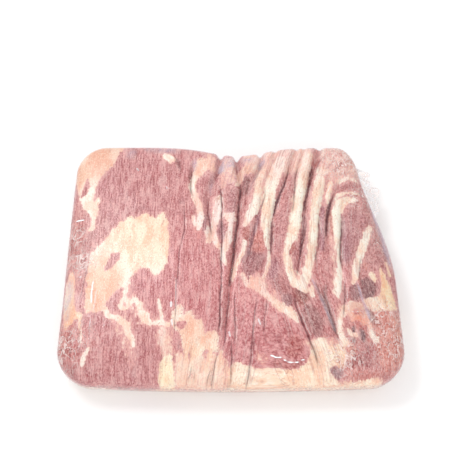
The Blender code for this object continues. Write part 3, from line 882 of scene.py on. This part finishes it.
# ---------------------------------------------------------------- materials
class Nodes:
    """Short names for building a material's node tree."""

    def __init__(self, name):
        self.material = bpy.data.materials.new(name)
        self.material.use_nodes = True
        self.tree = self.material.node_tree
        self.tree.nodes.clear()
        self.output = self.tree.nodes.new("ShaderNodeOutputMaterial")

    def node(self, kind, values=None, **settings):
        made = self.tree.nodes.new("ShaderNode" + kind)
        for key, value in settings.items():
            setattr(made, key, value)
        for key, value in (values or {}).items():
            if isinstance(value, bpy.types.NodeSocket):
                self.tree.links.new(value, made.inputs[key])
            else:
                made.inputs[key].default_value = value
        return made

    def attribute(self, name, output="Fac"):
        return self.node("Attribute", attribute_name=name).outputs[output]

    def math(self, operation, *values, clamp=False):
        made = self.node("Math", dict(enumerate(values)), operation=operation, use_clamp=clamp)
        return made.outputs[0]

    def spread(self, value, low, high, to_low=0.0, to_high=1.0):
        """Move value's range low to high onto to_low to to_high, smoothly."""
        made = self.node("MapRange", {"Value": value, "From Min": low, "From Max": high,
                                      "To Min": to_low, "To Max": to_high},
                         interpolation_type="SMOOTHSTEP")
        return made.outputs["Result"]

    def mix(self, factor, first, second, blend="MIX"):
        made = self.node("Mix", data_type="RGBA", blend_type=blend)
        for index, value in ((0, factor), (6, first), (7, second)):
            if isinstance(value, bpy.types.NodeSocket):
                self.tree.links.new(value, made.inputs[index])
            else:
                made.inputs[index].default_value = value
        return made.outputs[2]

    def noise(self, per_millimetre, detail=3.0, roughness=0.5, distortion=0.0):
        """Noise with its own number of waves in each millimetre across and along the grain."""
        place = self.attribute("grain", "Vector")
        mapped = self.node("Mapping", {"Vector": place, "Scale": per_millimetre}).outputs["Vector"]
        made = self.node("TexNoise", {"Vector": mapped, "Scale": 1.0, "Detail": detail,
                                      "Roughness": roughness, "Distortion": distortion})
        return made.outputs["Fac"]

    def ridges(self, per_millimetre, width, distortion=1.2, middle=0.5):
        """Thin branching lines where a noise passes through a middle value, 1 on a line."""
        value = self.noise(per_millimetre, 2.0, 0.5, distortion)
        return self.spread(self.math("ABSOLUTE", self.math("SUBTRACT", value, middle)), 0.0, width,
                           1.0, 0.0)

    def bump(self, height, strength, distance, normal=None):
        values = {"Height": height, "Strength": strength, "Distance": distance}
        if normal is not None:
            values["Normal"] = normal
        return self.node("Bump", values).outputs["Normal"]

    def finish(self, shader):
        self.tree.links.new(shader, self.output.inputs["Surface"])
        return self.material


def colour4(colour):
    return tuple(linear(colour)) + (1.0,)


def meat_material():
    """Lean with fibres along Y and cream fat with frayed edges, with painted shade down in the creases and
    furrows.
    """
    n = Nodes("raw_pork")
    coarse = n.math("SUBTRACT", n.noise((0.30, 0.10, 0.3), 3.0, 0.6), 0.5)
    fine = n.math("SUBTRACT", n.noise((0.85, 0.42, 0.8), 3.0, 0.65), 0.5)
    fringe = n.math("ADD", n.math("MULTIPLY", coarse, 4.0), n.math("MULTIPLY", fine, 3.2))
    edge = n.math("ADD", n.attribute("fat_distance"), n.math("MULTIPLY", fringe, n.attribute("rag")))
    fat = n.spread(edge, -0.45, 0.6)
    halo = n.spread(edge, -4.0, 0.6)

    fibres = n.noise((0.62, 0.06, 0.4), 4.0, 0.68)
    crumbs = n.noise((0.42, 0.24, 0.4), 4.0, 0.7)
    ribbed = n.spread(n.attribute("tension"), 0.3, 1.0, 0.0, 0.75)
    fibres = n.math("ADD", n.math("MULTIPLY", fibres, n.math("SUBTRACT", 1.0, ribbed)),
                    n.math("MULTIPLY", crumbs, ribbed))
    speckle = n.noise((0.75, 0.42, 0.7), 3.0, 0.72)
    blotch = n.noise((0.05, 0.022, 0.05), 3.0, 0.55)
    lean = n.attribute("lean_tint", "Color")
    darker = n.mix(1.0, lean, colour4((220, 182, 187)), "MULTIPLY")
    paler = n.mix(0.40, lean, colour4((254, 214, 208)))
    flecks = n.mix(0.62, lean, colour4((255, 228, 220)))
    lean = n.mix(n.spread(fibres, 0.36, 0.64), darker, paler)
    lean = n.mix(n.spread(speckle, 0.53, 0.64, 0.0, 0.7), lean, flecks)
    pits = n.mix(1.0, lean, colour4((196, 148, 154)), "MULTIPLY")
    lean = n.mix(n.spread(speckle, 0.47, 0.37, 0.0, 0.72), lean, pits)
    patches = n.noise((0.11, 0.05, 0.1), 4.0, 0.6)
    lean = n.mix(n.spread(patches, 0.5, 0.66, 0.0, 0.4), lean, flecks)
    lean = n.mix(n.spread(patches, 0.48, 0.34, 0.0, 0.35), lean, pits)
    lean = n.mix(n.spread(blotch, 0.42, 0.68, 0.0, 0.3), lean,
                 n.mix(1.0, lean, colour4((240, 206, 210)), "MULTIPLY"))

    veil = n.math("ADD", n.attribute("veil"),
                  n.math("MULTIPLY", n.math("ADD", n.math("MULTIPLY", coarse, 1.2), fine), 1.6))
    veiled = n.spread(n.attribute("veil"), 0.0, 0.25)
    streaks = n.math("MULTIPLY", n.spread(veil, 0.52, 0.95), veiled)
    veil = n.math("MULTIPLY", n.spread(veil, 0.25, 0.6), veiled)
    veil_tint = n.mix(n.spread(speckle, 0.44, 0.6, 0.35, 0.0), n.attribute("veil_tint", "Color"),
                      colour4((222, 150, 142)))
    lean = n.mix(n.math("MULTIPLY", veil, 0.9), lean, veil_tint)
    halo = n.math("MULTIPLY", halo, n.spread(n.noise((0.5, 0.2, 0.5), 4.0, 0.7), 0.42, 0.62, 0.1, 0.6))
    halo = n.math("MULTIPLY", halo, n.math("SUBTRACT", 1.0, n.attribute("marked")))
    lean = n.mix(halo, lean, colour4((243, 196, 186)))

    cream = n.attribute("fat_tint", "Color")
    pinker = n.mix(1.0, cream, colour4((250, 224, 214)), "MULTIPLY")
    cream = n.mix(n.spread(n.noise((0.07, 0.03, 0.1), 4.0, 0.65), 0.42, 0.6), cream, pinker)
    cream = n.mix(n.spread(n.noise((0.34, 0.09, 0.3), 4.0, 0.7), 0.56, 0.72, 0.0, 0.45),
                  cream, colour4((242, 200, 180)))
    cracks = n.math("MULTIPLY", n.ridges((0.13, 0.06, 0.1), 0.02, 1.0), n.spread(coarse, -0.02, 0.08))
    cream = n.mix(n.math("MULTIPLY", cracks, 0.75), cream, colour4((206, 150, 128)))
    cream = n.mix(n.spread(speckle, 0.44, 0.34, 0.0, 0.55), cream, colour4((220, 166, 144)))
    cream = n.mix(n.spread(speckle, 0.52, 0.64, 0.0, 0.55), cream, colour4((255, 252, 242)))
    cream = n.mix(n.spread(edge, 0.2, 2.6, 0.22, 0.0), cream, colour4((244, 204, 190)))

    colour = n.mix(n.math("MULTIPLY", streaks, 0.8), lean, cream)
    colour = n.mix(fat, colour, cream)
    # Painted shadow: thin darker lines along the pleats of the taut film.
    pleats = n.ridges((0.20, 0.009, 0.1), 0.03, 0.15)
    pleats = n.math("MULTIPLY", pleats, n.attribute("tension"))
    colour = n.mix(n.math("MULTIPLY", pleats, 0.42), colour,
                   n.mix(1.0, colour, colour4((196, 150, 156)), "MULTIPLY"))
    # Painted shadow: thin darker lines beside the film's crinkles at the crumpled corners.
    painted_crumple_shadow = n.math("MULTIPLY", n.ridges(CRINKLE_WAVES, 0.035, 1.2, 0.54), n.attribute("crumple"))
    colour = n.mix(n.math("MULTIPLY", painted_crumple_shadow, 0.8), colour,
                   n.mix(1.0, colour, colour4((198, 148, 146)), "MULTIPLY"))
    # Painted shade: dark brownish red down along each crease, where the film pinches into the meat.
    offset = n.math("ABSOLUTE", n.attribute("crease_offset"))
    line = n.math("MULTIPLY", n.spread(offset, 0.2, 2.6, 1.0, 0.0), n.attribute("crease_strength"))
    line = n.math("MULTIPLY", line, n.spread(n.noise((0.05, 0.09, 0.05), 2.0), 0.3, 0.6, 0.55, 1.0))
    colour = n.mix(n.math("MULTIPLY", line, 0.9, clamp=True), colour, colour4((92, 30, 40)))
    # Painted shade: darker down in the furrows, by their depth.
    painted_furrow_shade = n.spread(n.attribute("painted_furrow_shade"), 0.3, 1.0, 0.0, 0.35)
    colour = n.mix(painted_furrow_shade, colour, n.mix(1.0, colour, colour4((206, 150, 156)), "MULTIPLY"))

    height = n.math("MULTIPLY", fibres, 0.55)
    height = n.math("ADD", height, n.math("MULTIPLY", fat, 0.3))
    height = n.math("ADD", height, n.math("MULTIPLY", speckle, 0.35))
    normal = n.bump(height, 0.5, 0.0006)
    shader = n.node("BsdfPrincipled", {
        "Base Color": colour, "Roughness": n.spread(fat, 0, 1, 0.5, 0.42), "Normal": normal,
        "Subsurface Weight": 0.12, "Subsurface Radius": (1.0, 0.5, 0.4),
        "Subsurface Scale": 0.0012, "Specular IOR Level": 0.3,
    })
    return n.finish(shader.outputs["BSDF"])


def film_material(name):
    """Clear film: reflections that grow at grazing angles, plus a painted sheen and painted highlights on
    its folds and crinkles.
    """
    n = Nodes(name)
    offset = n.attribute("glint_distance")
    ragged = n.math("MULTIPLY", n.math("SUBTRACT", n.noise((0.5, 0.5, 0.5), 3.0), 0.5), 0.9)
    glint = n.spread(n.math("ADD", offset, ragged), -0.35, 0.35)
    glint = n.math("MULTIPLY", glint, n.attribute("glint_strength"))
    # Crinkle lines at the crumpled corners: bumped, and also painted pale as highlights on the crinkles.
    lines = n.ridges(CRINKLE_WAVES, 0.04, 1.2)
    fine = n.ridges((0.16, 0.12, 0.16), 0.03, 0.8)
    crumple = n.attribute("crumple")
    crinkle = n.math("MULTIPLY", n.math("MAXIMUM", lines, n.math("MULTIPLY", fine, 0.8)), crumple)
    # Painted highlight: thin pale streaks along the pleats of the taut film.
    tension = n.spread(n.noise((0.5, 0.011, 0.3), 2.0, 0.5, 0.2), 0.60, 0.68)
    tension = n.math("MULTIPLY", tension, n.attribute("tension"))
    # veil here is the painted sheen: a pale to lilac painted reflection where the film stands off the
    # meat.
    veil = n.math("MULTIPLY", n.attribute("painted_sheen"), n.spread(n.noise((0.2, 0.08, 0.2), 3.0), 0.3,
                                                              0.7, 0.45, 1.0))
    # Share of the painted light layer: painted highlights on crinkles, pleats and glints, and the painted
    # sheen.
    painted_light_amount = n.math("MAXIMUM", n.math("MULTIPLY", crinkle, 0.72), n.math("MULTIPLY", tension, 0.17))
    painted_light_amount = n.math("MAXIMUM", painted_light_amount, n.math("MULTIPLY", fine, n.spread(n.attribute("tension"),
                                                                       0.4, 1.0, 0.02, 0.08)))
    painted_light_amount = n.math("MAXIMUM", painted_light_amount, veil)
    painted_light_amount = n.math("MAXIMUM", painted_light_amount, n.math("MULTIPLY", glint, 0.95))
    # Painted highlight beside each crease.
    offset = n.math("ABSOLUTE", n.math("SUBTRACT", n.attribute("crease_offset"), 3.4))
    painted_crease_highlight = n.math("MULTIPLY", n.spread(offset, 0.3, 1.8, 1.0, 0.0), n.attribute("crease_strength"))
    painted_crease_highlight = n.math("MULTIPLY", painted_crease_highlight, n.spread(n.noise((0.1, 0.05, 0.1), 3.0), 0.42, 0.6))
    painted_light_amount = n.math("MAXIMUM", painted_light_amount, n.math("MULTIPLY", painted_crease_highlight, 0.42))

    swell = n.noise((0.12, 0.03, 0.1), 3.0, 0.5)
    pleats = n.noise((0.55, 0.03, 0.3), 3.0, 0.6)
    height = n.math("ADD", n.math("MULTIPLY", swell, 1.2), n.math("MULTIPLY", pleats, 0.35))
    height = n.math("ADD", height, n.math("MULTIPLY", crinkle, 0.4))
    normal = n.bump(height, 0.55, 0.0015)

    clear = n.node("BsdfTransparent", {"Color": (1.0, 1.0, 1.0, 1.0)}).outputs["BSDF"]
    gloss = n.node("BsdfGlossy", {"Color": (0.95, 0.95, 0.98, 1.0), "Roughness": 0.12,
                                  "Normal": normal}).outputs["BSDF"]
    fresnel = n.node("Fresnel", {"IOR": 1.42, "Normal": normal}).outputs["Fac"]
    shine = n.node("MixShader", {"Fac": n.spread(fresnel, 0.03, 0.55, 0.016, 0.5),
                                 1: clear, 2: gloss}).outputs["Shader"]
    # Colour of the painted sheen and painted glints, laid over the clear film as a matte layer.
    painted_light_colour = n.mix(n.spread(veil, 0.05, 0.3), colour4((255, 240, 234)), colour4((222, 210, 224)))
    painted_light_colour = n.mix(n.spread(glint, 0.1, 0.6), painted_light_colour, colour4((255, 255, 255)))
    milk = n.node("BsdfPrincipled", {"Base Color": painted_light_colour, "Roughness": 0.3}).outputs["BSDF"]
    whole = n.node("MixShader", {"Fac": painted_light_amount, 1: shine, 2: milk}).outputs["Shader"]
    return n.finish(whole)


def floor_material():
    n = Nodes("pale_floor")
    texture = n.node("TexNoise", {"Scale": 3.0, "Detail": 2.0}).outputs["Fac"]
    shade = n.mix(n.spread(texture, 0.3, 0.7), (0.96, 0.96, 0.96, 1), (0.98, 0.98, 0.98, 1))
    shader = n.node("BsdfPrincipled", {"Base Color": shade, "Roughness": 0.6})
    return n.finish(shader.outputs["BSDF"])


# ---------------------------------------------------------------- pieces
def add_grain(mesh, skin):
    """Give the textures coordinates along the fibres, and how taut and how crumpled the film is."""
    x, y = skin.marks.T
    layer = mesh.attributes.new("grain", "FLOAT_VECTOR", "POINT")
    down = np.minimum(skin.height - 36.0, 0.0)
    grain = np.column_stack([grain_x(x, y), y, down]).astype(np.float32)
    layer.data.foreach_set("vector", grain.ravel())
    right = smooth_step((x + 50) / 45)
    front = smooth_step((-70 - y) / 40) * smooth_step((x + 95) / 40)
    set_values(mesh, "tension", 0.12 + 0.88 * np.maximum(right, front))
    crumple = 0.55 * smooth_step((36.0 - skin.height) / 12.0)
    for middle_x, middle_y, radius in CRUMPLES:
        near = np.exp(-(np.hypot(x - middle_x, y - middle_y) / radius) ** 2)
        crumple = np.maximum(crumple, near)
    set_values(mesh, "crumple", crumple)


def make_meat(collection):
    skin = Skin(furrow_share=1.0, inset=FILM_GAP)
    piece = skin.make("pork_belly_meat", collection)
    mesh = piece.data
    add_grain(mesh, skin)
    marks = wander(skin.marks, 40, 0.9)
    top_field, rag = fat_field(marks)
    sides = flank_field(skin)
    down = smooth_step((30.0 - skin.height) / 12.0)
    set_values(mesh, "fat_distance", top_field + (sides - top_field) * down)
    set_values(mesh, "rag", rag + (0.7 - rag) * down)
    plain = blend_regions(marks, LEAN_REGIONS, LEAN_DEFAULT)
    lean, marked = paint(marks, plain, LEAN_MARKS)
    veil_tint, veil = paint(marks, plain, PALE_VEILS)
    veil *= 1 - 0.9 * marked
    set_colours(mesh, "lean_tint", lean)
    set_colours(mesh, "veil_tint", veil_tint)
    set_values(mesh, "veil", veil * (1 - down))
    set_values(mesh, "marked", marked)
    set_colours(mesh, "fat_tint", blend_regions(marks, FAT_REGIONS, FAT_DEFAULT))
    set_values(mesh, "crease_offset", skin.crease_offset)
    set_values(mesh, "crease_strength", skin.crease_strength * (1 - down))
    # Painted furrow shade, by the furrows' depth.
    set_values(mesh, "painted_furrow_shade", np.clip(skin.furrow_depth / 6.0, 0.0, 1.0) * (1 - 0.6 * down))
    mesh.materials.append(meat_material())
    return piece


def make_film(collection):
    skin = Skin(furrow_share=0.86, inset=0.0)
    piece = skin.make("clear_film", collection)
    add_grain(piece.data, skin)
    # The painted sheen and the glints are painted reflections and highlights on the film.
    painted_sheen, glint, glint_strength = film_fields(skin)
    down = smooth_step((36.0 - skin.height) / 12.0)
    for name, values in (("painted_sheen", painted_sheen), ("glint_distance", glint),
                         ("glint_strength", glint_strength * (1 - down)),
                         ("crease_offset", skin.crease_offset),
                         ("crease_strength", skin.crease_strength * (1 - down))):
        set_values(piece.data, name, values)
    piece.data.materials.append(film_material("clear_film"))
    return piece


def fold_surface():
    """Points of the loose film at the back right: a crumpled flap from the slab's side outwards."""
    along, out = np.meshgrid(np.linspace(0, 1, FOLD_ROWS), np.linspace(0, 1, FOLD_COLUMNS),
                             indexing="ij")
    y = FOLD_FRONT + (FOLD_BACK - FOLD_FRONT) * along
    side = LENGTH / 2 - RIGHT_SLANT * smooth_step((y - RIGHT_SLANT_FROM) / RIGHT_SLANT_OVER)
    side -= FOLD_TUCK * smooth_step((y - FOLD_TUCK_FROM) / FOLD_TUCK_OVER)
    reach = FOLD_REACH * smooth_step(along / 0.3) * smooth_step((1 - along) / 0.22)
    reach *= 0.8 + 0.2 * np.sin(along * 17.0) + 0.08 * np.sin(along * 41.0)
    x = side - FOLD_ROOT + (reach + FOLD_OVERLAP) * out
    z = FOLD_TOP - FOLD_DROP * out
    for height, turns_along, turns_out in FOLD_RIPPLES:
        z += height * out * np.sin(turns_along * along + turns_out * out)
    y = y + 1.5 * out * np.sin(along * 31.0)
    return np.dstack([x, y, z])


def make_fold(collection):
    """The loose flap as a thin closed sheet with a rim."""
    top = fold_surface()
    rows, columns = top.shape[:2]
    under = top - (0.0, 0.0, FOLD_THICKNESS)
    points = np.concatenate([top.reshape(-1, 3), under.reshape(-1, 3)]) + (*MARKS_AT, 0.0)
    index = np.arange(rows * columns).reshape(rows, columns)
    corner = index[:-1, :-1].ravel()
    upper = np.column_stack([corner, corner + columns, corner + columns + 1, corner + 1])
    lower = upper[:, ::-1] + rows * columns
    rim = np.concatenate([index[0, :], index[1:, -1], index[-1, -2::-1], index[-2:0:-1, 0]])
    after = np.roll(rim, -1)
    edge = np.column_stack([rim, after, after + rows * columns, rim + rows * columns])
    faces = np.concatenate([upper, lower, edge])
    mesh = bpy.data.meshes.new("film_fold")
    mesh.from_pydata((points / 1000.0).tolist(), [], faces.tolist())
    mesh.shade_smooth()
    mesh.update()
    piece = bpy.data.objects.new("film_fold", mesh)
    collection.objects.link(piece)
    layer = mesh.attributes.new("grain", "FLOAT_VECTOR", "POINT")
    layer.data.foreach_set("vector", points.astype(np.float32).ravel())
    set_values(mesh, "crumple", np.ones(len(points)))
    mesh.materials.append(film_material("loose_film"))
    return piece


# ---------------------------------------------------------------- stage, lights, camera
CAMERA_AT = (-0.0058, -0.3139, 0.717)
CAMERA_PITCH = 62.7
CAMERA_LENS = 56.4


def make_floor(collection):
    mesh = bpy.data.meshes.new("floor")
    half = 3.0
    corners = [(-half, -half, 0), (half, -half, 0), (half, half, 0), (-half, half, 0)]
    mesh.from_pydata(corners, [], [(0, 1, 2, 3)])
    floor = bpy.data.objects.new("floor", mesh)
    floor.location.z = -0.0002
    collection.objects.link(floor)
    mesh.materials.append(floor_material())


def add_area(name, place, target, size, watts, colour=(1.0, 1.0, 1.0)):
    light = bpy.data.lights.new(name, "AREA")
    light.shape = "RECTANGLE"
    light.size, light.size_y = size
    light.energy = watts
    light.color = colour
    lamp = bpy.data.objects.new(name, light)
    lamp.location = place
    lamp.rotation_euler = (Vector(target) - Vector(place)).to_track_quat("-Z", "Y").to_euler()
    bpy.context.scene.collection.objects.link(lamp)


def make_lights():
    world = bpy.data.worlds.new("studio")
    world.use_nodes = True
    background = world.node_tree.nodes["Background"]
    background.inputs["Color"].default_value = (1.0, 1.0, 1.0, 1.0)
    background.inputs["Strength"].default_value = 0.86
    bpy.context.scene.world = world
    add_area("key", (-0.7, 0.5, 1.3), (0, 0, 0.03), (0.4, 0.3), 4.5)
    add_area("fill", (0.3, -1.1, 0.9), (0, 0, 0.03), (0.9, 0.6), 4.0)
    add_area("strip", (-0.34, 0.45, 0.9), (0, 0, 0.05), (0.03, 0.5), 1.0)


def make_camera():
    camera = bpy.data.cameras.new("camera")
    camera.lens = CAMERA_LENS
    camera.sensor_width = 36.0
    camera.clip_start, camera.clip_end = 0.01, 20.0
    body = bpy.data.objects.new("camera", camera)
    body.location = CAMERA_AT
    body.rotation_euler = (math.radians(90.0 - CAMERA_PITCH), 0.0, 0.0)
    bpy.context.scene.collection.objects.link(body)
    bpy.context.scene.camera = body


# ---------------------------------------------------------------- assembly
scene = bpy.context.scene
scene.view_settings.view_transform = "Standard"
make_camera()
make_lights()
make_floor(scene.collection)
for piece, slot_name in ((make_meat(scene.collection), "pork"), (make_film(scene.collection), "film"),
                         (make_fold(scene.collection), "film")):
    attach(piece, "root")
    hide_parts("pork_belly_slab")
